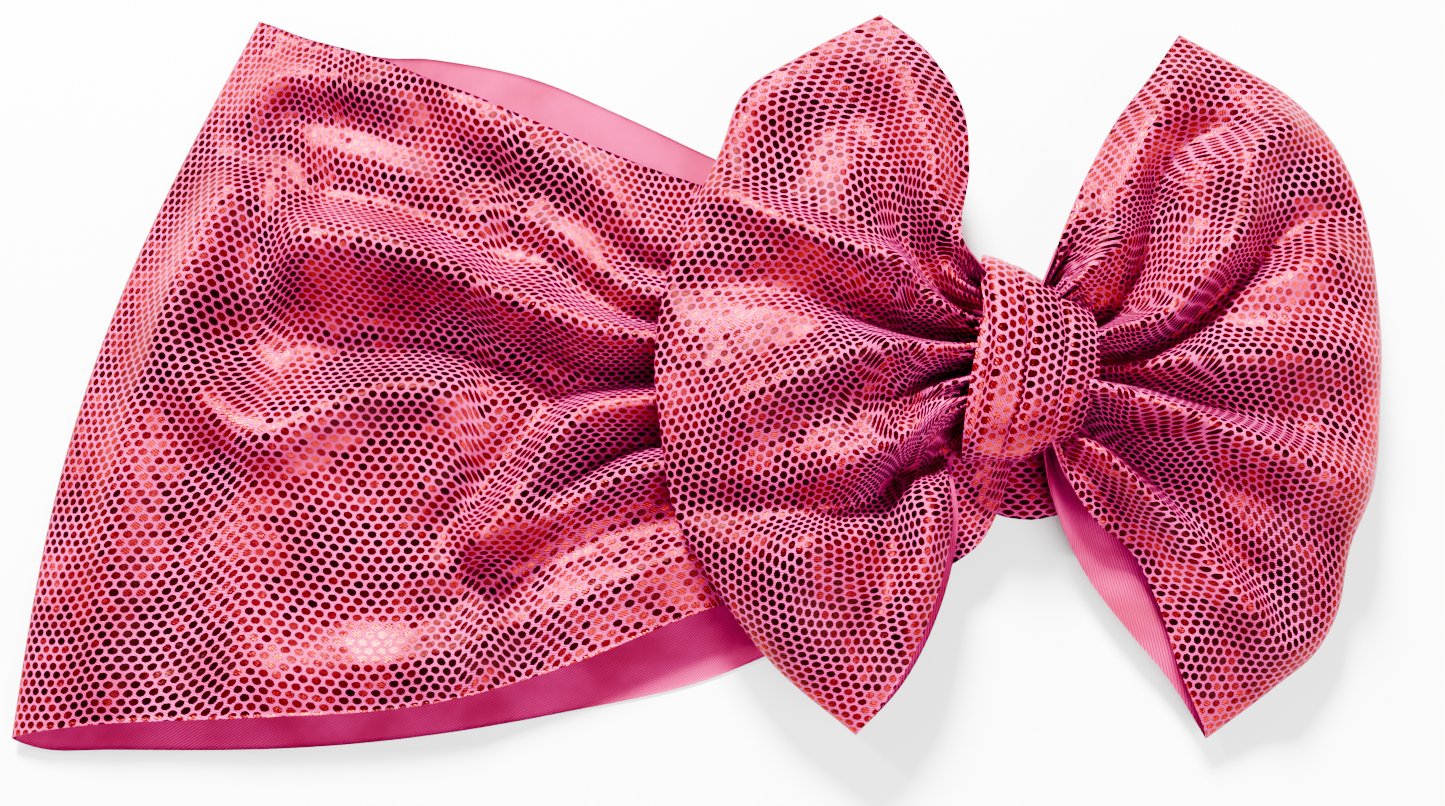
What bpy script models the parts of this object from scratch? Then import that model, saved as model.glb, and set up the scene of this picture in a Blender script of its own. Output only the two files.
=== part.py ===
"""Headwrap with a gathered bow: a stretch-knit ring band, one bow loop and one pleated centre wrap.

The part lies flat, as it does on a table: +X runs from the nape fold to the bow, +Y across the
band, +Z up. Lengths are in metres. Shapes are laid out about the bow's waist, then the whole part is
moved so that the origin is the centre of its footprint, on the table.
"""

import math

import bmesh
import bpy
from mathutils import Vector

MM = 0.001

# Driving dimensions.
CLOTH = 0.6 * MM  # stretch knit with a printed foil face
WAIST_HALF = 16 * MM  # half the gathered band's width inside the wrap
WRAP_HALF = 21.2 * MM  # half the centre wrap's length, across the band
WRAP_TOP = 28.5 * MM
WRAP_BACK = 3.0 * MM  # underside of the wrap, inside the band's ring
WRAP_FRONT_WIDTH = 25 * MM
WRAP_BACK_WIDTH = 12 * MM
WRAP_THICK = 1.8 * MM  # the strip is folded in three
WAIST_Z = 17.4 * MM  # middle height of the bow's gathered waist
WAIST_HIGH = 6.4 * MM  # half its thickness
WAIST_LONG = 10.5 * MM  # half its length along X
GAP = 0.4 * MM  # between touching pieces
FINE_THREAD = 0.5 * MM
GATHER_THREAD = 0.8 * MM
GATHER_TURNS = 4

# The band's cross-sections round the ring: lower edge x, y, upper edge x, y, height, crown, and how
# far the middle bows towards -X, all in mm from the waist. They run from the waist over the front
# layer to the nape fold, back along the table, and up to the waist.
BAND_SECTIONS = [
    (0, -15.5, 0, 15.5, 8.0, 0, 0),
    (-9.5, -15.5, -9.5, 15.5, 8.0, 0, 0),
    (-19, -36, -19, 24, 8.0, 0.5, 0),
    (-38, -44, -38, 30, 9.5, 1.5, 0),
    (-62, -49, -62, 37, 10.5, 2, 1),
    (-92, -61, -85, 44.5, 11.5, 2.5, 2),
    (-158, -71, -133, 64.5, 11, 2.5, 7),
    (-186, -72.3, -147, 69, 9.2, 1, 9),
    (-198.5, -74, -153.5, 72, 7.0, 0, 9.5),
    (-202.8, -75, -157, 73.4, 4.2, 0, 9.5),
    (-198.5, -77, -152, 72, 1.5, 0, 9.5),
    (-186, -77.5, -140, 69, 0.3, 0, 8),
    (-150, -77.3, -120, 66, 0.3, 0, 5),
    (-92, -70, -81, 54, 0.3, 0, 1),
    (-62, -62, -60, 44, 0.3, 0, 0),
    (-20, -38, -20, 26, 0.3, 0, 0),
    (4, -18, 4, 18, 0.3, 0, 0),
    (15, -15.5, 15, 15.5, 0.9, 0, 0),
    (18.5, -15.5, 18.5, 15.5, 4.2, 0, 0),
    (15, -15.5, 15, 15.5, 7.6, 0, 0),
    (9.5, -15.5, 9.5, 15.5, 8.0, 0, 0),
]
BAND_STEPS = 4  # rows between two cross-sections
BAND_ACROSS = 12

# The wings' rims, from the lower corner to the upper one: x, y and height, in mm from the waist.
LEFT_RIM = [
    (-33.5, -75, 20),
    (-52, -58, 21.5),
    (-69, -31, 23),
    (-73.1, -4, 24),
    (-69, 24.7, 24.5),
    (-56, 52, 24.5),
    (-28.5, 70, 24.5),
]
RIGHT_RIM = [
    (36.6, -75.5, 6),
    (58, -58, 9),
    (65.5, -37.5, 12),
    (71.4, -5.4, 14),
    (70.5, 25.3, 15),
    (55, 55, 16),
    (33, 68, 17),
]
WING_ROOT = 12.8 * MM  # a wing starts just outside the wrap
WING_ROOT_HALF = 15 * MM
WING_ALONG = 10
WING_ACROSS = 14
WING_ROOT_GAP = 3.0 * MM  # half the gap between a wing's layers where it leaves the wrap
WING_SWELL_LEAD = 0.1  # how soon the layers part, as a share of the way to the rim
LEFT_SWELL = 5.5 * MM  # half of what the layers add to that gap further out
RIGHT_SWELL = 7.0 * MM
WING_PLEATS = 5
WING_PLEAT = 1.2 * MM
WRAP_STEPS = 48  # points round the centre wrap
WRAP_SPANS = 8  # quads across its width
WAIST_STEPS = 60  # points round the gathered waist
WAIST_ROWS = 12
WAIST_PLEATS = 12

# The zigzag seams: where they lie, and half their run and width.
BOW_SEAM_X = 0.72 * WAIST_LONG
BOW_SEAM_Z = 10.0 * MM
BOW_SEAM_RUN = 12 * MM
BAND_SEAM_X = 11.5 * MM
BAND_SEAM_Z = 5.9 * MM
BAND_SEAM_RUN = 15 * MM
SEAM_HALF = 1.2 * MM
WRAP_SEAM_Z = WRAP_BACK - GAP - 0.5 * FINE_THREAD
WRAP_SEAM_RUN = 8 * MM
WRAP_SEAM_HALF = 2.4 * MM


def clear_scene():
    for obj in list(bpy.data.objects):
        bpy.data.objects.remove(obj)


def material(name, colour, roughness, metallic=0.0):
    made = bpy.data.materials.new(name)
    made.use_nodes = True
    shader = made.node_tree.nodes["Principled BSDF"]
    shader.inputs["Base Color"].default_value = (*colour, 1.0)
    shader.inputs["Roughness"].default_value = roughness
    shader.inputs["Metallic"].default_value = metallic
    return made


def add_object(name, data, finish, collection):
    obj = bpy.data.objects.new(name, data)
    obj.data.materials.append(finish)
    collection.objects.link(obj)
    return obj


def mesh_from_rows(name, rows, around, caps=False):
    """A sheet of quads through rows of points. around joins the last row to the first one."""
    mesh = bmesh.new()
    grid = [[mesh.verts.new(point) for point in row] for row in rows]
    pairs = list(zip(grid, grid[1:]))
    if around:
        pairs.append((grid[-1], grid[0]))
    for first, second in pairs:
        for i in range(len(first) - 1):
            mesh.faces.new((first[i], first[i + 1], second[i + 1], second[i]))
        if caps:
            mesh.faces.new((first[-1], first[0], second[0], second[-1]))
    if caps:
        mesh.faces.new(grid[0][::-1])
        mesh.faces.new(grid[-1])
    bmesh.ops.recalc_face_normals(mesh, faces=mesh.faces)
    data = bpy.data.meshes.new(name)
    mesh.to_mesh(data)
    mesh.free()
    data.shade_smooth()
    return data


def thicken(obj, thickness, offset=0.0):
    solidify = obj.modifiers.new("cloth", "SOLIDIFY")
    solidify.thickness = thickness
    solidify.offset = offset


def catmull_rom(before, start, end, after, t):
    """One point of the smooth curve from start to end; the arguments are tuples of numbers."""
    return [
        0.5
        * (
            2 * b
            + (c - a) * t
            + (2 * a - 5 * b + 4 * c - d) * t**2
            + (3 * b - a - 3 * c + d) * t**3
        )
        for a, b, c, d in zip(before, start, end, after)
    ]


def band_row(section):
    """Points across the band, crowned along the middle, and never below the table."""
    low_x, low_y, high_x, high_y, height, crown, bow = section
    row = []
    for i in range(BAND_ACROSS + 1):
        t = i / BAND_ACROSS
        arch = math.sin(math.pi * t)
        x = low_x + (high_x - low_x) * t - bow * arch
        z = max(height + crown * arch, 0.5 * CLOTH / MM)
        row.append(Vector((x, low_y + (high_y - low_y) * t, z)) * MM)
    return row


def headwrap_band(collection, finish):
    count = len(BAND_SECTIONS)
    rows = []
    for i in range(count):
        near = [BAND_SECTIONS[(i + k) % count] for k in (-1, 0, 1, 2)]
        rows += [band_row(catmull_rom(*near, step / BAND_STEPS)) for step in range(BAND_STEPS)]
    data = mesh_from_rows("headwrap_band", rows, True)
    band = add_object("headwrap_band", data, finish, collection)
    thicken(band, CLOTH)
    return band


def rim_point(rim, t):
    """A point at share t of the way along a wing's rim."""
    place = t * (len(rim) - 1)
    i = min(int(place), len(rim) - 2)
    near = [rim[max(i - 1, 0)], rim[i], rim[i + 1], rim[min(i + 2, len(rim) - 1)]]
    return Vector(catmull_rom(*near, place - i)) * MM


def bow_wing(name, rim, side, swell, collection, finish):
    """Half of the bow loop: cloth from the waist's front to the rim, round it and back underneath."""
    mesh_rows = []
    reach = [i / WING_ALONG for i in range(WING_ALONG)]
    for u, face in [(u, 1) for u in reach] + [(1.0, 0)] + [(u, -1) for u in reversed(reach)]:
        out = math.sin(0.5 * math.pi * u)
        opened = WING_ROOT_GAP + swell * math.sin(0.5 * math.pi * min(u + WING_SWELL_LEAD, 1)) ** 2
        half_gap = opened * math.sqrt(1 - out**4)
        row = []
        for i in range(WING_ACROSS + 1):
            t = i / WING_ACROSS
            root = Vector((side * WING_ROOT, WING_ROOT_HALF * (2 * t - 1), WAIST_Z))
            point = root.lerp(rim_point(rim, t), out)
            pleat = WING_PLEAT * math.cos(2 * math.pi * WING_PLEATS * t) * math.sin(math.pi * out)
            row.append(point + Vector((0, 0, face * half_gap + pleat)))
        mesh_rows.append(row)
    wing = add_object(name, mesh_from_rows(name, mesh_rows, False), finish, collection)
    thicken(wing, CLOTH)
    return wing


def oval(angle, half_y, half_z, squareness=2.6):
    """A point of a rounded oblong about the waist's middle, in the plane across the band."""
    c, s = math.cos(angle), math.sin(angle)
    y = half_y * math.copysign(abs(c) ** (2 / squareness), c)
    z = half_z * math.copysign(abs(s) ** (2 / squareness), s)
    return y, z


def waist_pinch(x):
    """How far the gathering thread pulls the waist in: 1 at its ends, least in the middle."""
    return 0.86 + 0.14 * min(abs(x) / (0.6 * WAIST_LONG), 1.0) ** 2


def bow_waist(collection, finish):
    """The bow strip's gathered middle: a pleated bundle with a pinch for the thread."""
    rows = []
    for k in range(WAIST_ROWS + 1):
        x = WAIST_LONG * (2 * k / WAIST_ROWS - 1)
        row = []
        for i in range(WAIST_STEPS):
            angle = 2 * math.pi * i / WAIST_STEPS
            pleats = 1 - 0.05 * (1 + math.cos(WAIST_PLEATS * angle))
            y, z = oval(angle, WAIST_HALF, WAIST_HIGH)
            row.append((x, y * pleats * waist_pinch(x), WAIST_Z + z * pleats * waist_pinch(x)))
        rows.append(row)
    data = mesh_from_rows("bow_waist", rows, False, caps=True)
    return add_object("bow_waist", data, finish, collection)


def centre_wrap(collection, finish):
    """The strip folded in three round the waist and the gathered band: broad in front, narrow behind."""
    middle_z = 0.5 * (WRAP_TOP + WRAP_BACK)
    half_z = 0.5 * (WRAP_TOP - WRAP_BACK)
    rows = []
    for i in range(WRAP_STEPS):
        angle = 2 * math.pi * i / WRAP_STEPS
        y, z = oval(angle, WRAP_HALF, half_z, 2.8)
        front = 0.5 + 0.5 * math.sin(angle)
        width = WRAP_BACK_WIDTH + (WRAP_FRONT_WIDTH - WRAP_BACK_WIDTH) * front**0.7
        across = [j / WRAP_SPANS - 0.5 for j in range(WRAP_SPANS + 1)]
        rows.append([(width * share, y, middle_z + z) for share in across])
    wrap = add_object("centre_wrap", mesh_from_rows("centre_wrap", rows, True), finish, collection)
    thicken(wrap, WRAP_THICK, offset=-1.0)
    return wrap


def thread(name, points, diameter, collection, finish):
    curve = bpy.data.curves.new(name, "CURVE")
    curve.dimensions = "3D"
    curve.bevel_depth = 0.5 * diameter
    curve.bevel_resolution = 2
    curve.use_fill_caps = True
    spline = curve.splines.new("POLY")
    spline.points.add(len(points) - 1)
    for target, point in zip(spline.points, points):
        target.co = (*point, 1.0)
    return add_object(name, curve, finish, collection)


def gathering_thread(collection, finish):
    """Thread wound round the waist's pinch."""
    per_turn = 24
    total = GATHER_TURNS * per_turn
    clear = 0.5 * GATHER_THREAD + GAP
    points = []
    for i in range(total + 1):
        angle = 2 * math.pi * i / per_turn
        x = (i / total - 0.5) * GATHER_TURNS * 1.3 * GATHER_THREAD
        pinch = waist_pinch(x)
        y, z = oval(angle, WAIST_HALF * pinch + clear, WAIST_HIGH * pinch + clear)
        points.append((x, y, WAIST_Z + z))
    return thread("gathering_thread", points, GATHER_THREAD, collection, finish)


def zigzag(middle_x, height, half_run, half_width, stitches):
    """The points of a zigzag seam across the band, all at one height."""
    return [
        (middle_x + half_width * (1 if i % 2 else -1), half_run * (2 * i / stitches - 1), height)
        for i in range(stitches + 1)
    ]


def move_origin_to_footprint(collection):
    """Moves the part so that the origin is the centre of its box, at the bottom."""
    bpy.context.view_layer.update()
    graph = bpy.context.evaluated_depsgraph_get()
    points = []
    for obj in collection.objects:
        solid = obj.evaluated_get(graph)
        points += [obj.matrix_world @ vertex.co for vertex in solid.to_mesh().vertices]
        solid.to_mesh_clear()
    low = [min(point[k] for point in points) for k in range(3)]
    high = [max(point[k] for point in points) for k in range(3)]
    shift = Vector(((low[0] + high[0]) / 2, (low[1] + high[1]) / 2, low[2]))
    for obj in collection.objects:
        obj.location -= shift


def main():
    clear_scene()
    collection = bpy.data.collections.new("bow_headwrap")
    bpy.context.scene.collection.children.link(collection)
    foil_knit = material("foil_knit", (0.86, 0.16, 0.42), 0.35)
    pink_thread = material("pink_thread", (0.90, 0.22, 0.50), 0.6)

    headwrap_band(collection, foil_knit)
    bow_wing("bow_wing_left", LEFT_RIM, -1, LEFT_SWELL, collection, foil_knit)
    bow_wing("bow_wing_right", RIGHT_RIM, 1, RIGHT_SWELL, collection, foil_knit)
    bow_waist(collection, foil_knit)
    centre_wrap(collection, foil_knit)
    gathering_thread(collection, pink_thread)
    bow_seam = zigzag(BOW_SEAM_X, BOW_SEAM_Z, BOW_SEAM_RUN, SEAM_HALF, 22)
    thread("bow_seam_thread", bow_seam, FINE_THREAD, collection, pink_thread)
    band_seam = zigzag(BAND_SEAM_X, BAND_SEAM_Z, BAND_SEAM_RUN, SEAM_HALF, 26)
    thread("band_seam_thread", band_seam, FINE_THREAD, collection, pink_thread)
    wrap_seam = zigzag(0, WRAP_SEAM_Z, WRAP_SEAM_RUN, WRAP_SEAM_HALF, 14)
    thread("wrap_seam_thread", wrap_seam, FINE_THREAD, collection, pink_thread)
    move_origin_to_footprint(collection)


main()
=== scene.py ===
import math

import bpy
import numpy as np
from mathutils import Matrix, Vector


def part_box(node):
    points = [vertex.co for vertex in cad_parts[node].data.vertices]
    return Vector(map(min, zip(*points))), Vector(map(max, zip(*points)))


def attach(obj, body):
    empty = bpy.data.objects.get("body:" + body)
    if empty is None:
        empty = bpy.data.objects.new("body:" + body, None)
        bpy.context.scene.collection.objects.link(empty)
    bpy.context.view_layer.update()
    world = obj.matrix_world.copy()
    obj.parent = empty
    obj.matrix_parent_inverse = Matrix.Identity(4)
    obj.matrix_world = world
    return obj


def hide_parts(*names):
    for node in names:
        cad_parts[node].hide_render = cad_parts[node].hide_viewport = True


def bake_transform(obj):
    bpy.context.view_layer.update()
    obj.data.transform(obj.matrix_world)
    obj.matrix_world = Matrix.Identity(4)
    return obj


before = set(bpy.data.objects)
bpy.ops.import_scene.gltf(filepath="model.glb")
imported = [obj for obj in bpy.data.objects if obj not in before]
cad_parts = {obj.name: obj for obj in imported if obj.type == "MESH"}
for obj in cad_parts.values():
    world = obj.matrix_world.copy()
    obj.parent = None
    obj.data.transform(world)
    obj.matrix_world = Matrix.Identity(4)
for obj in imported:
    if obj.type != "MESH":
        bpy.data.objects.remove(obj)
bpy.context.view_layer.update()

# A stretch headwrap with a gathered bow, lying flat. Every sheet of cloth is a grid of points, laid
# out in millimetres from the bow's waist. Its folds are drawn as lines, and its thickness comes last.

MM = 0.001
CLOTH = 0.45  # thickness of the knit, in mm
BOW_STRIP = (177.0, 305.0)  # the bow's strip before it was gathered: across and round, in mm
BAND_STRIP = (161.0, 430.0)
WRAP_STRIP = (26.0, 92.0)  # as folded in three: across and round
WRAP_CLOTH = 1.1  # thickness of its folded cloth
GATHERS = 6  # pleats across the waist
GATHER_HEIGHT = 4.4
PLEATS = 22  # finer ones, hidden in the wrap
PLEAT_HEIGHT = 3.6
WRAPPED = 0.17  # the share of a wing that the wrap hides
GATHER_REACH = 0.5  # how far out they go, as a share of the wing
FLOOR = 0.25  # lowest height of a sheet's middle, in mm
BAND_RELIEF = 1.4  # the folds' heights are all raised by this much
WING_RELIEF = 1.4
SEED = 7
WING_GRID = (66, 180)  # points from the waist to the rim, and across
BAND_GRID = (260, 110)  # points round the ring, and across
WRAP_GRID = (150, 56)
WAIST_LEVEL = 17.0  # height of the bow's waist, and half the gap between its layers
WAIST_GAP = 3.2
REAR_GAP = 2.0  # the rear layer stays at least this far below the front one
BAND_CROWN = 2.0
BAND_FRONT_FLOOR = 1.6  # the front layer stays above the rear one

wrap_low, wrap_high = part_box("centre_wrap")
WAIST = np.array([(wrap_low[0] + wrap_high[0]) / 2, (wrap_low[1] + wrap_high[1]) / 2, 0.0])

# The camera looks nearly straight down, from the side of the band's lower edge.
CAMERA_AIM = (-59.9, -6.7, 0.0)
CAMERA_DISTANCE = 450.0
CAMERA_ELEVATION = 83.0
FRAME_WIDTH = 297.7  # width of the view on the table
SENSOR = 36.0

# The band, round the ring from the waist: lower edge x, y, upper edge x, y, height, and how far the
# middle bows towards -X.
BAND_STATIONS = [
    (-1.5, -14, -1, 13.5, 9.0, 0),
    (-2.5, -23, -5, 14.5, 10.5, 0),
    (-6, -32.5, -9, 16.5, 10.8, 0),
    (-14, -40.5, -20, 22, 9.5, 0),
    (-36, -45, -40, 30, 9.0, 0),
    (-60, -48.5, -64, 37, 9.0, 1),
    (-92, -61, -85, 44.5, 9.0, 2),
    (-121, -68.5, -112, 56, 9.0, 4),
    (-158, -71, -133, 64.5, 8.5, 7),
    (-186, -72.3, -147, 69, 7.0, 9),
    (-198.5, -74, -153.5, 72, 5.0, 9.5),
    (-202.8, -75, -156.8, 73.5, 2.8, 9.5),
    (-198.5, -77, -152, 72, 0.6, 9.5),
    (-182, -77.5, -134, 67, 0.3, 8),
    (-150, -77.3, -120, 66, 0.3, 5),
    (-122, -75, -100, 62, 0.3, 3),
    (-92, -70, -81, 54, 0.3, 1),
    (-62, -63, -60, 44, 0.3, 0),
    (-30, -46, -28, 30, 0.3, 0),
    (-8, -27, -6, 20, 0.3, 0),
    (13, -20, 15, 17, 0.5, 0),
    (20.5, -22, 19.5, 16, 3.6, 0),
    (17, -28, 15, 16, 7.5, 0),
    (9, -30, 10, 15.5, 8.5, 0),
    (1, -31.5, 5, 15, 8.5, 0),
    (-7, -28.5, 2, 14, 8.0, 0),
    (-3, -19, 0.5, 13.5, 8.5, 0),
]
BAND_FRONT_ENDS = 11  # the station at the nape fold

# Folds: a line of points in mm from the waist, then height and half-width at its start and at its end.
BAND_FOLDS = [
    ([(-172, 62), (-157, 57.5), (-148, 58), (-132, 57)], 6, 4, 6, 6),
    ([(-163, 47), (-150, 45)], -4, -3, 8, 8),
    ([(-148, 54), (-137.5, 51), (-129.5, 48), (-112, 38)], -4, -3, 4, 5),
    ([(-112, 53), (-97.3, 44.4), (-84.9, 37.1), (-74.7, 25.7), (-68, 20)], 3, 5, 7, 5),
    ([(-120, 51), (-105.5, 38.4), (-93.1, 31.1), (-80.8, 21.7), (-66, 16)], -4, -4, 5, 4),
    ([(-97, 32), (-88, 24.5), (-79, 16.5), (-66, 12)], 3, 5, 5, 3.5),
    ([(-104, 27), (-94, 20.5), (-86, 14), (-79, 10), (-64, 7.5)], -3, -5, 4, 3),
    (
        [(-143, 24), (-129, 23.4), (-117, 19), (-105, 13.2), (-93, 8.3), (-81.5, 5.5), (-64, 3.5)],
        9,
        7,
        8,
        3.5,
    ),
    ([(-140, 36), (-129, 33), (-117, 28), (-105.7, 21)], -5, -4, 6, 5),
    (
        [(-150, 4), (-134, 6), (-117.5, 6.5), (-105.6, 3), (-90.6, -1.5), (-78.8, -3), (-64, -3)],
        -6,
        -7,
        10,
        3.5,
    ),
    (
        [
            (-160, 34), (-166, 19), (-169.7, 3), (-162, -9), (-152, -15), (-139, -9.6), (-128, -5),
            (-117, -5),
        ],
        4,
        4,
        6,
        6,
    ),
    ([(-154, 22), (-156, 8)], -3, -3, 7, 7),
    (
        [
            (-64, -6), (-81, -8), (-87.4, -10.4), (-93.2, -16.2), (-97.9, -23.9), (-104.8, -31.1),
            (-109, -36),
        ],
        6,
        5,
        4,
        4,
    ),
    ([(-116, -34), (-107, -22), (-99, -13), (-94, -6)], -4, -3, 5, 4),
    ([(-64, -14), (-78, -16), (-88, -22), (-95, -27)], -6, -3, 4, 4),
    ([(-66, -20), (-80.4, -22.5), (-93.2, -29.5), (-106, -36)], 4, 4, 3.5, 4),
    ([(-66, -30), (-84, -34), (-100, -42), (-116, -50)], -3, -2, 5, 6),
    ([(-66, -38), (-84, -46), (-104, -54), (-130, -60)], 2, 2, 5, 6),
    ([(-184, -65), (-183.5, -47.4), (-181, -23), (-176, 1), (-169, 28), (-160, 50)], 2.5, 2.5, 5, 6),
    ([(-170, -58), (-168, -36), (-164, -24)], -2, -2, 8, 8),
    ([(-156, -64), (-136, -64), (-112, -63)], 1.5, 2, 6, 6),
]

# The bow's wings. A rim runs from the lower corner to the upper one: x, y and height.
LEFT_WING = {
    "side": -1,
    "rim": [
        (-33.5, -74, 14),
        (-50, -60, 15),
        (-61.4, -45, 17),
        (-69, -31, 18),
        (-72.2, -12.7, 19),
        (-73.1, -4, 20),
        (-72.2, 9, 20),
        (-67.9, 24.7, 20),
        (-60, 42, 20),
        (-55.8, 53, 20),
        (-44, 61, 20),
        (-28, 69.5, 20),
    ],
    "front_low": [(-2, -10), (-15.3, -20), (-15.1, -32.5), (-18.8, -48.8), (-26, -64.4), (-33.5, -74)],
    "front_high": [(-2, 12), (-12.6, 20.5), (-11, 38), (-11.9, 49), (-18.2, 60), (-28, 69.5)],
    "rear_low": [(-2, -10), (-14, -20), (-13.4, -32.5), (-16.8, -48.8), (-25, -65), (-33.5, -74)],
    "rear_high": [(-2, 12), (-12, 24), (-11, 40), (-13, 52), (-20, 62), (-28, 69.5)],
    "front_z": 27.0,
    "rear_z": 14.5,
    "folds": [
        ([(-9.4, 7.4), (-19, 16), (-23, 22.5), (-26, 31), (-28, 40), (-31.5, 48)], -7, -2, 2.4, 5),
        ([(-12, 18), (-17, 28), (-20, 42), (-24, 56)], 5, 3, 3, 6),
        ([(-36, 50), (-44, 42), (-46, 34)], -3, -3, 8, 8),
        (
            [(-10, 5.6), (-17, 11.5), (-23.5, 16.5), (-36, 19.9), (-48.7, 26.2), (-60, 31.5)],
            6,
            4.5,
            2.4,
            4,
        ),
        (
            [
                (-9, 3.8), (-23.2, 6), (-29.5, 7.8), (-36, 9.7), (-44.3, 12.9), (-53, 14.1),
                (-66, 14.1),
            ],
            -8,
            -3,
            2.2,
            4.5,
        ),
        ([(-9, 1.8), (-23.4, 1.6), (-31, 0), (-37.5, -1.6), (-43.5, -4.5), (-57.3, -11)], 5, 5, 2.2, 7),
        ([(-10, -2), (-19.2, -5.8), (-26, -12.4)], -4, -1.5, 1.8, 3),
        ([(-10, -4), (-18, -8.5), (-24.4, -14.7), (-31, -19.7), (-38.6, -21.3)], 4, 3, 2.2, 5),
        (
            [
                (-12, -14), (-15.5, -19.4), (-23.3, -22), (-28.3, -25.5), (-34.2, -29.2),
                (-43.5, -30.5), (-66, -30),
            ],
            -7,
            -4,
            2.2,
            5,
        ),
        ([(-44, -38), (-50, -46), (-48, -54)], 4, 3, 8, 8),
        ([(-27, -24), (-27.5, -31), (-27, -40), (-31, -56)], -4, -1, 3, 4),
        ([(-19, -26), (-20.5, -38), (-24, -52)], 3, 2, 3, 4),
    ],
}
RIGHT_WING = {
    "side": 1,
    "rim": [
        (36.6, -75, 4),
        (50.4, -64.5, 6),
        (58.3, -57.6, 8),
        (62, -51, 9),
        (64.7, -37.5, 11),
        (69.4, -25, 12),
        (71.4, -5.4, 13),
        (71.7, 11.8, 13),
        (70.5, 25.3, 13),
        (68.5, 34, 13),
        (64, 44.2, 13),
        (54.8, 54.6, 13),
        (45, 60.6, 13),
        (33, 67.4, 13),
    ],
    "front_low": [
        (2, -10),
        (7.5, -24),
        (14.5, -32.8),
        (20.4, -36.9),
        (25.9, -46.5),
        (30.2, -60.5),
        (36.6, -75),
    ],
    "front_high": [(2, 12), (7.4, 25), (13.2, 37.5), (19.7, 49), (25.4, 56.3), (33, 67.4)],
    "rear_low": [(2, -10), (5.8, -28.4), (14.3, -44.5), (21.3, -53.7), (29, -63), (36.6, -75)],
    "rear_high": [(2, 12), (10, 24), (16, 38), (22, 50), (27, 58), (33, 67.4)],
    "front_z": 24.0,
    "rear_z": 8.0,
    "folds": [
        ([(9, 11), (15, 24), (22, 40), (31, 56)], 4, 3, 3, 6),
        (
            [(12, 5.5), (20.3, 12.5), (23.8, 19.5), (26.7, 26.5), (28, 38.3), (33.7, 44.2), (43, 47)],
            -7,
            -3,
            2.2,
            3.5,
        ),
        ([(12, 3.5), (27.8, 7.4), (35.2, 16.7), (42, 26), (44, 38), (51.9, 46)], 6, 5, 2.6, 5.5),
        (
            [(11, 0.2), (21.3, 0.5), (30.3, 5.7), (38.8, 12.8), (47.5, 19.9), (54.6, 26.5), (66, 30)],
            -8,
            -3,
            2.2,
            4,
        ),
        ([(40.7, 12.8), (49, 14.6), (61.5, 18.8)], 2, 3, 4, 5),
        ([(11, -2.2), (33.8, -1.9), (69.3, 1.1)], 5, 4, 2.2, 8),
        ([(11, -3.8), (19.5, -4.6), (28.8, -7.6), (38.3, -10.6), (52, -14.5)], -6, -2, 1.8, 3.5),
        ([(11, -6), (23.6, -10.2), (33, -14.2), (44.6, -18.9), (56.3, -23.5), (66, -26)], 7, 6, 2.4, 7),
        (
            [
                (10, -13), (19.5, -18.4), (26.4, -25), (33.4, -33.2), (40.3, -40.2), (47, -45.5),
                (50, -52),
            ],
            -7,
            -3,
            2.6,
            4.5,
        ),
        (
            [(13, -17), (20.7, -26.5), (28.6, -32.2), (32.4, -35.1), (39.8, -45.1), (50.7, -58)],
            4,
            4,
            3,
            5,
        ),
        ([(16, -27), (24, -38), (30, -52)], -3, -1, 3, 4),
    ],
}

# Pleats of the centre wrap: x at a few heights y.
WRAP_LEFT = [(-20, -14.4), (-10.7, -12.6), (0, -10.6), (8, -9.0), (20, -9.5)]
WRAP_RIGHT = [(-20, 8.5), (-14.3, 10.4), (-4, 12.9), (5.8, 13.1), (20, 12)]
WRAP_PLEATS = [
    ([(-20, -12.4), (-14.8, -10.6), (-3.5, -8.2), (2.9, -7.4), (20, -9.0)], 1.9),
    ([(-20, -6.1), (-9.9, -1.8), (2.9, -0.5), (9.4, -0.9), (20, -3)], 2.1),
    ([(-20, 3.0), (-9.9, 5.5), (2.9, 6.8), (12, 5.5)], 1.5),
]


# Curves and folds


def along(points, shares):
    """The smooth curve through the points, at shares of its length."""
    points = np.asarray(points, float)
    lengths = np.linalg.norm(np.diff(points[:, :2], axis=0), axis=1)
    place = np.concatenate([[0], np.cumsum(lengths)]) / lengths.sum()
    slopes = np.gradient(points, place, axis=0)
    shares = np.clip(np.asarray(shares, float), 0, 1)
    i = np.clip(np.searchsorted(place, shares, side="right") - 1, 0, len(points) - 2)
    span = (place[i + 1] - place[i])[..., None]
    t = (shares[..., None] - place[i][..., None]) / span
    first, second = points[i], points[i + 1]
    return (
        (2 * t**3 - 3 * t**2 + 1) * first
        + (t**3 - 2 * t**2 + t) * span * slopes[i]
        + (-2 * t**3 + 3 * t**2) * second
        + (t**3 - t**2) * span * slopes[i + 1]
    )


def fold_height(xy, folds):
    """Height that the fold lines add at each point."""
    x, y = xy[..., 0], xy[..., 1]
    total = np.zeros(x.shape)
    for line, start_height, end_height, start_width, end_width in folds:
        steps = np.linspace(0, 1, 25)
        path = along(line, steps)
        best = np.full(total.shape, np.inf)
        share = np.zeros(total.shape)
        for k in range(len(path) - 1):
            (ax, ay), (dx, dy) = path[k], path[k + 1] - path[k]
            t = np.clip(((x - ax) * dx + (y - ay) * dy) / (dx * dx + dy * dy), 0, 1)
            distance = np.hypot(x - ax - t * dx, y - ay - t * dy)
            nearer = distance < best
            best = np.where(nearer, distance, best)
            share = np.where(nearer, (k + t) / (len(path) - 1), share)
        width = start_width + (end_width - start_width) * share
        height = start_height + (end_height - start_height) * share
        total += height * np.exp(-((best / width) ** 2))
    return total


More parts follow.
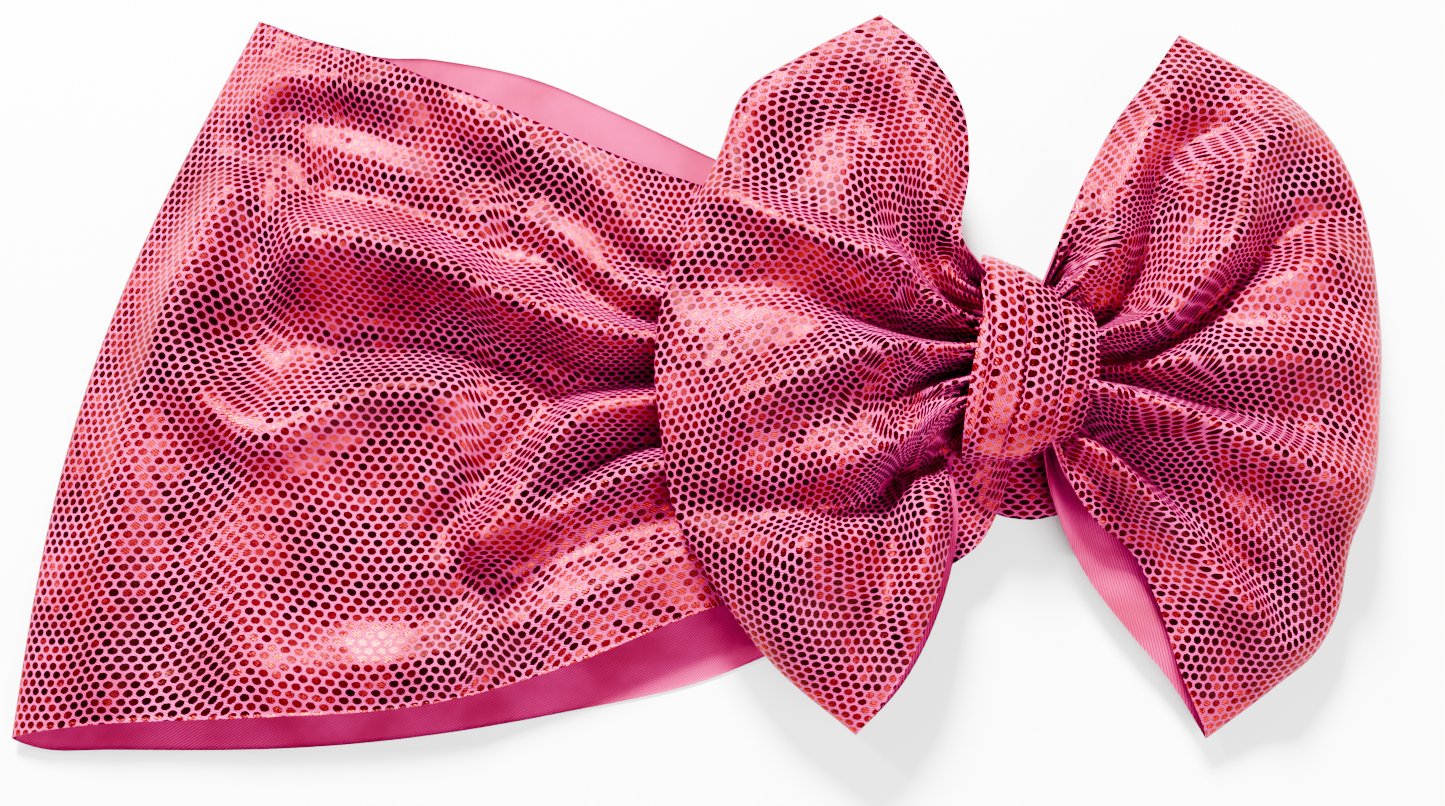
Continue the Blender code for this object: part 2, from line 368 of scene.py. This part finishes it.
def smooth_noise(shape, cells, seed):
    """Soft random waves from -1 to 1 over a grid."""
    rows, columns = cells
    knots = np.random.default_rng(seed).uniform(-1, 1, (rows + 3, columns + 3))
    y = np.linspace(0.5, rows + 0.5, shape[0])
    x = np.linspace(0.5, columns + 0.5, shape[1])
    i, j = y.astype(int), x.astype(int)
    a = (0.5 - 0.5 * np.cos(math.pi * (y - i)))[:, None]
    b = (0.5 - 0.5 * np.cos(math.pi * (x - j)))[None, :]
    low = knots[np.ix_(i, j)] * (1 - b) + knots[np.ix_(i, j + 1)] * b
    high = knots[np.ix_(i + 1, j)] * (1 - b) + knots[np.ix_(i + 1, j + 1)] * b
    return low * (1 - a) + high * a


def smoothed(grid, times, closed=False):
    """Evens out the inner points of a grid of points or heights."""
    for _ in range(times):
        up, down = np.roll(grid, 1, 0), np.roll(grid, -1, 0)
        if not closed:
            up[0], down[-1] = grid[0], grid[-1]
        left, right = np.roll(grid, 1, 1), np.roll(grid, -1, 1)
        left[:, 0], right[:, -1] = grid[:, 0], grid[:, -1]
        grid = 0.5 * grid + 0.125 * (up + down + left + right)
    return grid


# Sheets


def wing_layer(wing, face, out, across):
    """One layer of a wing: points at shares out from the waist and across from the lower edge."""
    side = "front" if face > 0 else "rear"
    u, v = out[:, None, None], across[None, :, None]
    low = along(wing[side + "_low"], out)[:, None, :]
    high = along(wing[side + "_high"], out)[:, None, :]
    root = low[:1] * (1 - v) + high[:1] * v
    rim = along(wing["rim"], across)[None]
    flat = root * (1 - u) + rim[..., :2] * u
    flat = flat + (1 - v) ** 2 * (low - (low[:1] * (1 - u) + low[-1:] * u))
    flat = flat + v**2 * (high - (high[:1] * (1 - u) + high[-1:] * u))
    reach = out[:, None]
    rim_z = rim[..., 2]
    puff = 0.45 + 0.55 * np.sin(math.pi * across[None]) ** 0.6
    level = wing[side + "_z"]
    start = WAIST_LEVEL + WAIST_GAP * face
    rise = np.clip((reach - 0.1) / 0.4, 0, 1)
    rise = rise * rise * (3 - 2 * rise)
    wanted = start + (rim_z + (level - rim_z) * puff - start) * rise
    z = rim_z + (wanted - rim_z) * np.sqrt(np.clip(1 - reach**5, 0, 1))
    return np.concatenate([flat, z[..., None]], axis=-1)


def gathers(out, across, seed):
    """The pleats at the waist, which fan out and fade towards the rim."""
    drift = 0.35 * smooth_noise((2, len(across)), (1, 6), seed)[0]
    fade = np.clip(1 - out / GATHER_REACH, 0, 1)[:, None] ** 1.2
    fade *= 0.35 + 0.65 * np.clip(out / WRAPPED, 0, 1)[:, None]
    wide = GATHER_HEIGHT * fade * np.cos(2 * math.pi * (GATHERS * across + drift))[None]
    tight = np.clip(1 - out / WRAPPED, 0, 1)[:, None] ** 0.6
    return wide + PLEAT_HEIGHT * tight * np.cos(2 * math.pi * PLEATS * across)[None]


def wing_sheet(wing, seed):
    """A wing's loop of cloth, from the waist's front out to the rim and back underneath."""
    out = np.sin(np.linspace(0, math.pi / 2, WING_GRID[0])) ** 0.9
    across = np.linspace(0, 1, WING_GRID[1])
    calm = np.sqrt(np.clip(1 - out**6, 0, 1))[:, None]
    layers = []
    for face in (1, -1):
        layer = wing_layer(wing, face, out, across)
        if face > 0:
            folds = WING_RELIEF * fold_height(layer[..., :2], wing["folds"])
        else:
            ripple = np.cos(7 * math.pi * across)[None] * np.sin(math.pi * out)[:, None]
            folds = 1.6 * ripple
        folds = folds + 0.5 * smooth_noise(folds.shape, (5, 9), seed + face)
        folds = folds + gathers(out, across, seed + 10 + 10 * face)
        layer[..., 2] += folds * calm
        layers.append(layer)
    front, rear = layers
    rear[..., 2] = np.minimum(rear[..., 2], front[..., 2] - REAR_GAP * calm)
    points = np.concatenate([front, rear[-2::-1]])
    points[..., 2] = np.maximum(points[..., 2], FLOOR)
    points = smoothed(points, 2)
    return points, cloth_coordinates(points, run_down(points, len(out) - 1), BOW_STRIP[0])


def run_down(points, start):
    """How far each point lies along its column from the row at start, on the evened-out cloth."""
    even = smoothed(points, 12)
    steps = np.linalg.norm(np.diff(even, axis=0), axis=-1)
    run = np.concatenate([np.zeros((1, points.shape[1])), np.cumsum(steps, axis=0)])
    return run - run[start]


def cloth_coordinates(points, reach, width):
    """Where each point was on the flat strip: the gathered rows keep part of their own width."""
    steps = np.linalg.norm(np.diff(points, axis=1), axis=-1)
    run = np.concatenate([np.zeros((len(points), 1)), np.cumsum(steps, axis=1)], axis=1)
    middle = 0.5 * run[:, -1:]
    scale = (width / run[:, -1:]) ** 0.35
    across = (run - middle) * scale
    return np.stack([np.broadcast_to(reach, across.shape), across], axis=-1)


def band_sheet():
    """The band's ring of cloth, round from the waist."""
    stations = np.array(BAND_STATIONS + BAND_STATIONS[:1], float)
    middles = 0.5 * (stations[:, :2] + stations[:, 2:4])
    lengths = np.linalg.norm(np.diff(middles, axis=0), axis=1) + np.abs(np.diff(stations[:, 4]))
    place = np.concatenate([[0], np.cumsum(lengths)])
    at = np.linspace(0, place[-1], BAND_GRID[0], endpoint=False)
    around = np.concatenate([stations[-3:-1], stations, stations[1:3]])
    spots = np.concatenate([place[-3:-1] - place[-1], place, place[1:3] + place[-1]])
    slopes = np.gradient(around, spots, axis=0)
    i = np.searchsorted(spots, at, side="right") - 1
    span = (spots[i + 1] - spots[i])[:, None]
    t = (at[:, None] - spots[i][:, None]) / span
    row = (
        (2 * t**3 - 3 * t**2 + 1) * around[i]
        + (t**3 - 2 * t**2 + t) * span * slopes[i]
        + (-2 * t**3 + 3 * t**2) * around[i + 1]
        + (t**3 - t**2) * span * slopes[i + 1]
    )
    across = np.linspace(0, 1, BAND_GRID[1])
    v = across[None, :]
    x = row[:, :1] * (1 - v) + row[:, 2:3] * v - row[:, 5:6] * np.sin(math.pi * v)
    y = row[:, 1:2] * (1 - v) + row[:, 3:4] * v
    points = np.stack([x, y, np.broadcast_to(row[:, 4:5], x.shape)], axis=-1)
    nape = place[BAND_FRONT_ENDS]
    front = np.clip((nape - 6 - at) / 14, 0, 1) * np.clip(at / 20, 0, 1)
    front = (front * front * (3 - 2 * front))[:, None]
    edge = 0.5 + 0.5 * np.sin(math.pi * across)[None] ** 0.5
    crown = BAND_CROWN * np.sin(math.pi * across)[None]
    folds = BAND_RELIEF * fold_height(points[..., :2], BAND_FOLDS)
    folds = folds + 0.7 * smooth_noise(x.shape, (22, 7), SEED)
    points[..., 2] += front * edge * (folds + crown)
    lowest = np.where(front > 0.02, BAND_FRONT_FLOOR, FLOOR)
    points[..., 2] = np.maximum(points[..., 2], lowest)
    points = smoothed(points, 1, closed=True)
    reach = at / place[-1] * BAND_STRIP[1]
    return points, cloth_coordinates(points, reach[:, None], BAND_STRIP[0])


def wrap_sheet():
    """The centre wrap: a strip round the waist and the gathered band, with pleats along it."""
    rows, columns = WRAP_GRID
    turn = np.linspace(0, 2 * math.pi, rows, endpoint=False)[:, None]
    w = np.linspace(0, 1, columns)[None, :]
    top = 20.5 - 10.5 * w**1.4
    bottom = -19.6 + 3.5 * np.clip(w - 0.6, 0, 1) / 0.4
    middle, half = 0.5 * (top + bottom), 0.5 * (top - bottom)
    c, s = np.cos(turn), np.sin(turn)
    power = 2 / 2.5
    y = middle + half * np.sign(c) * np.abs(c) ** power
    front = 0.5 + 0.5 * s
    low_z, high_z = 3.0, 28.6
    z = 0.5 * (low_z + high_z) + 0.5 * (high_z - low_z) * np.sign(s) * np.abs(s) ** power
    left = np.interp(y, *zip(*WRAP_LEFT))
    right = np.interp(y, *zip(*WRAP_RIGHT))
    centre = 0.5 * (left + right)
    narrow = 0.5 + 0.5 * front**0.6
    x = centre + (left + (right - left) * w - centre) * narrow
    roll = (1 - np.abs(2 * w - 1) ** 5) * front
    z = z - 1.8 * (1 - roll) * front
    for line, height in WRAP_PLEATS:
        at = np.interp(y, *zip(*line))
        offset = x - at
        step = np.where(offset > 0, np.exp(-((offset / 4.0) ** 2)), np.exp(-((offset / 0.5) ** 2)))
        z = z + height * (step - 1.3 * np.exp(-((offset / 0.7) ** 2))) * front**2
    points = np.stack([x, y, z], axis=-1)
    points = smoothed(points, 1, closed=True)
    steps = np.linalg.norm(np.roll(points, -1, 0) - points, axis=-1).mean(axis=1)
    reach = np.concatenate([[0], np.cumsum(steps)[:-1]])
    return points, cloth_coordinates(points, reach[:, None], WRAP_STRIP[0])


# Meshes


def grid_normals(points, closed, flip):
    """The direction straight out of the cloth at each point."""
    if closed:
        down = np.roll(points, -1, 0) - np.roll(points, 1, 0)
    else:
        down = np.gradient(points, axis=0)
    normals = np.cross(down, np.gradient(points, axis=1))
    normals /= np.linalg.norm(normals, axis=-1, keepdims=True) + 1e-12
    return -normals if flip else normals


def strip_quads(first, second, around):
    """Faces between two lines of points, which run round a ring or end."""
    here = np.arange(len(first) if around else len(first) - 1)
    there = (here + 1) % len(first)
    return np.stack([first[here], second[here], second[there], first[there]], axis=-1)


def cloth_object(name, points, flat, face, back, thickness=CLOTH, closed=False, flip=False):
    """A closed skin of the cloth's thickness round a grid of points.

    Its printed face has the first material; its back and its cut edges have the second.
    """
    rows, columns = points.shape[:2]
    normals = grid_normals(points, closed, flip)
    skins = [points + normals * thickness / 2, points - normals * thickness / 2]
    vertices = np.concatenate([skin.reshape(-1, 3) for skin in skins]) * MM + WAIST
    upper = np.arange(rows * columns).reshape(rows, columns)
    lower = upper + rows * columns
    here = np.arange(rows if closed else rows - 1)
    there = (here + 1) % rows

    def quads(grid, turned):
        corners = [grid[here][:, :-1], grid[there][:, :-1], grid[there][:, 1:], grid[here][:, 1:]]
        faces = np.stack(corners, axis=-1).reshape(-1, 4)
        return faces[:, ::-1] if turned else faces

    def rim(first, second, around, turned):
        faces = strip_quads(first, second, around)
        return faces[:, ::-1] if turned else faces

    parts = [(quads(upper, flip), 0), (quads(lower, not flip), 1)]
    parts.append((rim(upper[:, 0], lower[:, 0], closed, not flip), 1))
    parts.append((rim(upper[:, -1], lower[:, -1], closed, flip), 1))
    if not closed:
        parts.append((rim(upper[0], lower[0], False, flip), 1))
        parts.append((rim(upper[-1], lower[-1], False, not flip), 1))
    faces = np.concatenate([part for part, _ in parts])
    kinds = np.concatenate([np.full(len(part), kind) for part, kind in parts])
    mesh = bpy.data.meshes.new(name)
    mesh.from_pydata(vertices.tolist(), [], faces.tolist())
    mesh.materials.append(face)
    mesh.materials.append(back)
    mesh.polygons.foreach_set("material_index", kinds.astype(np.int32))
    mesh.polygons.foreach_set("use_smooth", np.ones(len(faces), bool))
    cloth = mesh.attributes.new("cloth", "FLOAT_VECTOR", "POINT")
    where = np.zeros((2, rows * columns, 3))
    where[..., :2] = flat.reshape(-1, 2) * MM
    cloth.data.foreach_set("vector", where.reshape(-1).astype(np.float32))
    mesh.update()
    obj = bpy.data.objects.new(name, mesh)
    bpy.context.scene.collection.objects.link(obj)
    return obj


# Materials


class Nodes:
    """Short calls for a material's nodes."""

    def __init__(self, name):
        self.material = bpy.data.materials.new(name)
        self.material.use_nodes = True
        self.tree = self.material.node_tree
        self.shader = self.tree.nodes["Principled BSDF"]

    def add(self, kind, **settings):
        node = self.tree.nodes.new("ShaderNode" + kind)
        for key, value in settings.items():
            setattr(node, key, value)
        return node

    def link(self, source, target):
        self.tree.links.new(source, target)

    def fill(self, socket, value):
        if hasattr(value, "is_output"):
            self.link(value, socket)
        else:
            socket.default_value = value

    def maths(self, operation, *values, clamp=False):
        node = self.add("Math", operation=operation, use_clamp=clamp)
        for socket, value in zip(node.inputs, values):
            self.fill(socket, value)
        return node.outputs[0]

    def vector(self, operation, *values):
        node = self.add("VectorMath", operation=operation)
        for socket, value in zip(node.inputs, values):
            self.fill(socket, value)
        return node.outputs["Value"] if operation in ("LENGTH", "DOT_PRODUCT") else node.outputs[0]

    def mix(self, share, first, second):
        node = self.add("Mix", data_type="RGBA")
        self.fill(node.inputs[0], share)
        self.fill(node.inputs[6], first)
        self.fill(node.inputs[7], second)
        return node.outputs[2]

    def ramp(self, value, low, high, to_low=0.0, to_high=1.0):
        node = self.add("MapRange", interpolation_type="SMOOTHSTEP")
        for socket, number in zip(node.inputs, (value, low, high, to_low, to_high)):
            self.fill(socket, number)
        return node.outputs[0]

    def noise(self, vector, scale, detail=2.0):
        node = self.add("TexNoise")
        node.inputs["Scale"].default_value = scale
        node.inputs["Detail"].default_value = detail
        self.link(vector, node.inputs["Vector"])
        return node.outputs["Fac"]

    def random(self, vector):
        node = self.add("TexWhiteNoise", noise_dimensions="3D")
        self.link(vector, node.inputs["Vector"])
        return node

    def bump(self, height, distance, normal=None):
        node = self.add("Bump")
        node.inputs["Strength"].default_value = 1.0
        node.inputs["Distance"].default_value = distance
        self.link(height, node.inputs["Height"])
        if normal is not None:
            self.link(normal, node.inputs["Normal"])
        return node.outputs[0]


DOT_PITCH = (2.05 * MM, 3.4 * MM)  # two lattices of this cell make the staggered dots
DOT_RADIUS = 0.83 * MM
DOT_EDGE = 0.07 * MM  # half the width over which a dot ends
DOT_RAGGED = 0.22 * MM  # how much its edge wanders
RIB = 0.42 * MM  # spacing of the knit's ribs

# The net between the dots and the plain side, each as dark, light and with painted shade in the grooves
# between ribs.
NET_DARK = (0.23, 0.0011, 0.064, 1)
NET_LIGHT = (0.40, 0.006, 0.15, 1)
NET_PAINTED_GROOVE_SHADE = (0.10, 0.0004, 0.02, 1)
PLAIN_DARK = (0.20, 0.0001, 0.042, 1)
PLAIN_LIGHT = (0.34, 0.0003, 0.10, 1)
PLAIN_PAINTED_GROOVE_SHADE = (0.12, 0.0001, 0.016, 1)
# The foil's own dark red, and a brighter red painted in random patches as reflection off the foil.
FOIL_DARK = (0.013, 0.0001, 0.0003, 1)
FOIL_PAINTED_GLINT = (0.24, 0.0004, 0.008, 1)
# The thread's colour, and a darker one that paints shade in the grooves of its twist.
THREAD_PAINTED_GROOVE_SHADE = (0.55, 0.05, 0.22, 1)
THREAD_LIGHT = (0.92, 0.2, 0.46, 1)


def cloth_place(nodes):
    return nodes.add("Attribute", attribute_name="cloth").outputs["Vector"]


def knit_height(nodes, place, turn):
    """Fine tricot ribs, slanting across the strip."""
    mapping = nodes.add("Mapping")
    mapping.inputs["Rotation"].default_value = (0, 0, turn)
    nodes.link(place, mapping.inputs["Vector"])
    wave = nodes.add("TexWave", wave_type="BANDS", bands_direction="X", wave_profile="SIN")
    # A wave's bands repeat every pi / 10 of its own units.
    wave.inputs["Scale"].default_value = math.pi / 10 / RIB
    wave.inputs["Distortion"].default_value = 0.6
    wave.inputs["Detail"].default_value = 1.0
    nodes.link(mapping.outputs[0], wave.inputs["Vector"])
    return wave.outputs["Fac"]


def foil_dot_knit():
    """Pink stretch knit with staggered round dots of red foil, each tilted a little its own way."""
    nodes = Nodes("foil_dot_knit")
    place = cloth_place(nodes)
    wobble = nodes.add("TexNoise")
    wobble.inputs["Scale"].default_value = 90.0
    nodes.link(place, wobble.inputs["Vector"])
    centred = nodes.vector("SUBTRACT", wobble.outputs["Color"], (0.5, 0.5, 0.5))
    shift = nodes.vector("SCALE", centred)
    shift.node.inputs["Scale"].default_value = 0.9 * MM
    moved = nodes.vector("ADD", place, shift)
    cell = (DOT_PITCH[0], DOT_PITCH[1], 1.0)
    scaled = nodes.vector("DIVIDE", moved, cell)
    found = []
    for offset in (0.0, 0.5):
        there = nodes.vector("ADD", scaled, (offset, offset, 0.0))
        whole = nodes.vector("FLOOR", nodes.vector("ADD", there, (0.5, 0.5, 0.5)))
        apart = nodes.vector("SUBTRACT", there, whole)
        local = nodes.vector("MULTIPLY", apart, (cell[0], cell[1], 0.0))
        key = nodes.vector("ADD", whole, (100 * offset, 0.0, 0.0))
        found.append((nodes.vector("LENGTH", local), local, key))
    (near, near_local, near_key), (far, far_local, far_key) = found
    second = nodes.maths("LESS_THAN", far, near)
    distance = nodes.maths("MINIMUM", near, far)
    local = nodes.mix(second, near_local, far_local)
    key = nodes.mix(second, near_key, far_key)
    chance = nodes.random(key)
    rough_edge = nodes.maths("MULTIPLY", nodes.noise(place, 2600.0), DOT_RAGGED)
    radius = nodes.maths("ADD", DOT_RADIUS - 0.16 * MM, rough_edge)
    dot = nodes.ramp(nodes.maths("SUBTRACT", distance, radius), DOT_EDGE, -DOT_EDGE)

    ribs = knit_height(nodes, place, 0.9)
    shade = nodes.noise(place, 60.0)
    pink = nodes.mix(nodes.ramp(shade, 0.35, 0.65), NET_DARK, NET_LIGHT)
    # Painted shade: the grooves between the ribs are darkened in the colour.
    pink = nodes.mix(nodes.ramp(ribs, 0.0, 0.5), NET_PAINTED_GROOVE_SHADE, pink)
    # Painted reflection: per-dot chance and soft patches pick the brighter foil colour.
    painted_glint_patch = nodes.maths("MULTIPLY", nodes.noise(place, 38.0, 1.0), 1.3)
    painted_glint_mask = nodes.maths("MULTIPLY_ADD", chance.outputs["Value"], 0.32, painted_glint_patch)
    foil = nodes.mix(nodes.ramp(painted_glint_mask, 0.68, 1.2), FOIL_DARK, FOIL_PAINTED_GLINT)
    colour = nodes.mix(dot, pink, foil)
    nodes.link(colour, nodes.shader.inputs["Base Color"])
    nodes.link(nodes.maths("MULTIPLY", dot, 0.96), nodes.shader.inputs["Metallic"])
    nodes.link(nodes.ramp(dot, 0.0, 1.0, 0.46, 0.27), nodes.shader.inputs["Roughness"])
    nodes.shader.inputs["Specular IOR Level"].default_value = 0.04
    nodes.shader.inputs["Specular Tint"].default_value = (0.9, 0.16, 0.3, 1.0)
    nodes.shader.inputs["Coat Weight"].default_value = 0.018
    nodes.shader.inputs["Coat Roughness"].default_value = 0.08

    lean = nodes.vector("SUBTRACT", chance.outputs["Color"], (0.5, 0.5, 0.5))
    tilt = nodes.maths("MULTIPLY", nodes.vector("DOT_PRODUCT", local, lean), dot)
    wrinkle = nodes.maths("MULTIPLY", nodes.noise(place, 2400.0, 1.0), 0.07 * MM)
    raised = nodes.maths("MULTIPLY_ADD", dot, 0.03 * MM, wrinkle)
    height = nodes.maths("ADD", nodes.maths("MULTIPLY", tilt, 0.18), raised)
    height = nodes.maths("MULTIPLY_ADD", ribs, 0.035 * MM, height)
    relief = nodes.bump(height, 1.0)
    nodes.link(relief, nodes.shader.inputs["Normal"])
    nodes.link(relief, nodes.shader.inputs["Coat Normal"])
    return nodes.material


def plain_knit():
    """The knit's unprinted side: hot pink, with a satin sheen over its slanting ribs."""
    nodes = Nodes("plain_knit")
    place = cloth_place(nodes)
    ribs = knit_height(nodes, place, 0.7)
    shade = nodes.noise(place, 70.0, 3.0)
    light = nodes.mix(nodes.ramp(shade, 0.3, 0.7), PLAIN_DARK, PLAIN_LIGHT)
    # Painted shade: the grooves between the ribs are darkened in the colour.
    colour = nodes.mix(nodes.ramp(ribs, 0.0, 0.6), PLAIN_PAINTED_GROOVE_SHADE, light)
    nodes.link(colour, nodes.shader.inputs["Base Color"])
    nodes.shader.inputs["Roughness"].default_value = 0.5
    nodes.shader.inputs["Specular IOR Level"].default_value = 0.03
    nodes.shader.inputs["Specular Tint"].default_value = (0.9, 0.16, 0.4, 1.0)
    height = nodes.maths("MULTIPLY", ribs, 0.05 * MM)
    nodes.link(nodes.bump(height, 1.0), nodes.shader.inputs["Normal"])
    return nodes.material


def sewing_thread():
    """Twisted polyester thread."""
    nodes = Nodes("pink_thread")
    place = nodes.add("TexCoord").outputs["Object"]
    wave = nodes.add("TexWave", wave_type="BANDS", bands_direction="DIAGONAL")
    wave.inputs["Scale"].default_value = math.pi / 10 / (0.35 * MM)
    nodes.link(place, wave.inputs["Vector"])
    # Painted shade: the thread is darker in the grooves of its twist.
    colour = nodes.mix(wave.outputs["Fac"], THREAD_PAINTED_GROOVE_SHADE, THREAD_LIGHT)
    nodes.link(colour, nodes.shader.inputs["Base Color"])
    nodes.shader.inputs["Roughness"].default_value = 0.55
    height = nodes.maths("MULTIPLY", wave.outputs["Fac"], 0.06 * MM)
    nodes.link(nodes.bump(height, 1.0), nodes.shader.inputs["Normal"])
    return nodes.material


def tabletop():
    """A plain white surface."""
    nodes = Nodes("tabletop")
    place = nodes.add("TexCoord").outputs["Object"]
    grain = nodes.noise(place, 40.0, 4.0)
    white = nodes.mix(grain, (0.93, 0.93, 0.93, 1), (0.96, 0.96, 0.96, 1))
    nodes.link(white, nodes.shader.inputs["Base Color"])
    nodes.shader.inputs["Roughness"].default_value = 0.6
    return nodes.material


# Stage


def add_floor():
    bpy.ops.mesh.primitive_plane_add(size=3.0, location=(0, 0, 0))
    floor = bpy.context.object
    floor.name = "floor"
    floor.data.materials.append(tabletop())


def add_light(name, place, size, power):
    """A round soft light that faces the origin."""
    data = bpy.data.lights.new(name, "AREA")
    data.shape = "DISK"
    data.size = size
    data.energy = power
    obj = bpy.data.objects.new(name, data)
    obj.location = place
    obj.rotation_mode = "QUATERNION"
    obj.rotation_quaternion = (-Vector(place)).to_track_quat("-Z", "Y")
    bpy.context.scene.collection.objects.link(obj)


def add_lights():
    add_light("key", (-0.2, 0.9, 0.8), 0.3, 225.0)
    add_light("fill", (0.5, -0.5, 0.9), 0.9, 42.0)
    add_light("glint", (-0.5, 0.35, 0.5), 0.05, 8.0)
    world = bpy.data.worlds.new("studio")
    world.use_nodes = True
    background = world.node_tree.nodes["Background"]
    background.inputs["Color"].default_value = (1.0, 0.96, 0.95, 1)
    background.inputs["Strength"].default_value = 0.75
    bpy.context.scene.world = world


def add_camera():
    data = bpy.data.cameras.new("camera")
    data.sensor_width = SENSOR
    data.lens = SENSOR * CAMERA_DISTANCE / FRAME_WIDTH
    camera = bpy.data.objects.new("camera", data)
    tilt = math.radians(CAMERA_ELEVATION)
    back = np.array([0, -math.cos(tilt), math.sin(tilt)])
    camera.location = (np.array(CAMERA_AIM) + back * CAMERA_DISTANCE) * MM + WAIST
    camera.rotation_euler = (math.pi / 2 - tilt, 0, 0)
    bpy.context.scene.collection.objects.link(camera)
    bpy.context.scene.camera = camera


# The object


def main():
    foil, plain, thread = foil_dot_knit(), plain_knit(), sewing_thread()

    band = cloth_object("band_cloth", *band_sheet(), foil, plain, closed=True, flip=True)
    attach(band, "headwrap")
    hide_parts("headwrap_band")

    for name, wing, hidden in (
        ("left", LEFT_WING, ["bow_wing_left", "bow_waist"]),
        ("right", RIGHT_WING, ["bow_wing_right"]),
    ):
        side = wing["side"]
        grid = wing_sheet(wing, SEED + side)
        sheet = cloth_object(f"bow_{name}_cloth", *grid, foil, plain, flip=side < 0)
        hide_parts(*hidden)
        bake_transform(sheet)

    wrap = cloth_object("wrap_cloth", *wrap_sheet(), foil, plain, thickness=WRAP_CLOTH, closed=True)
    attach(wrap, "headwrap")
    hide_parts("centre_wrap")

    for name in ("gathering_thread", "bow_seam_thread", "band_seam_thread", "wrap_seam_thread"):
        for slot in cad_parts[name].material_slots:
            slot.material = thread
    add_floor()
    add_lights()
    add_camera()


main()
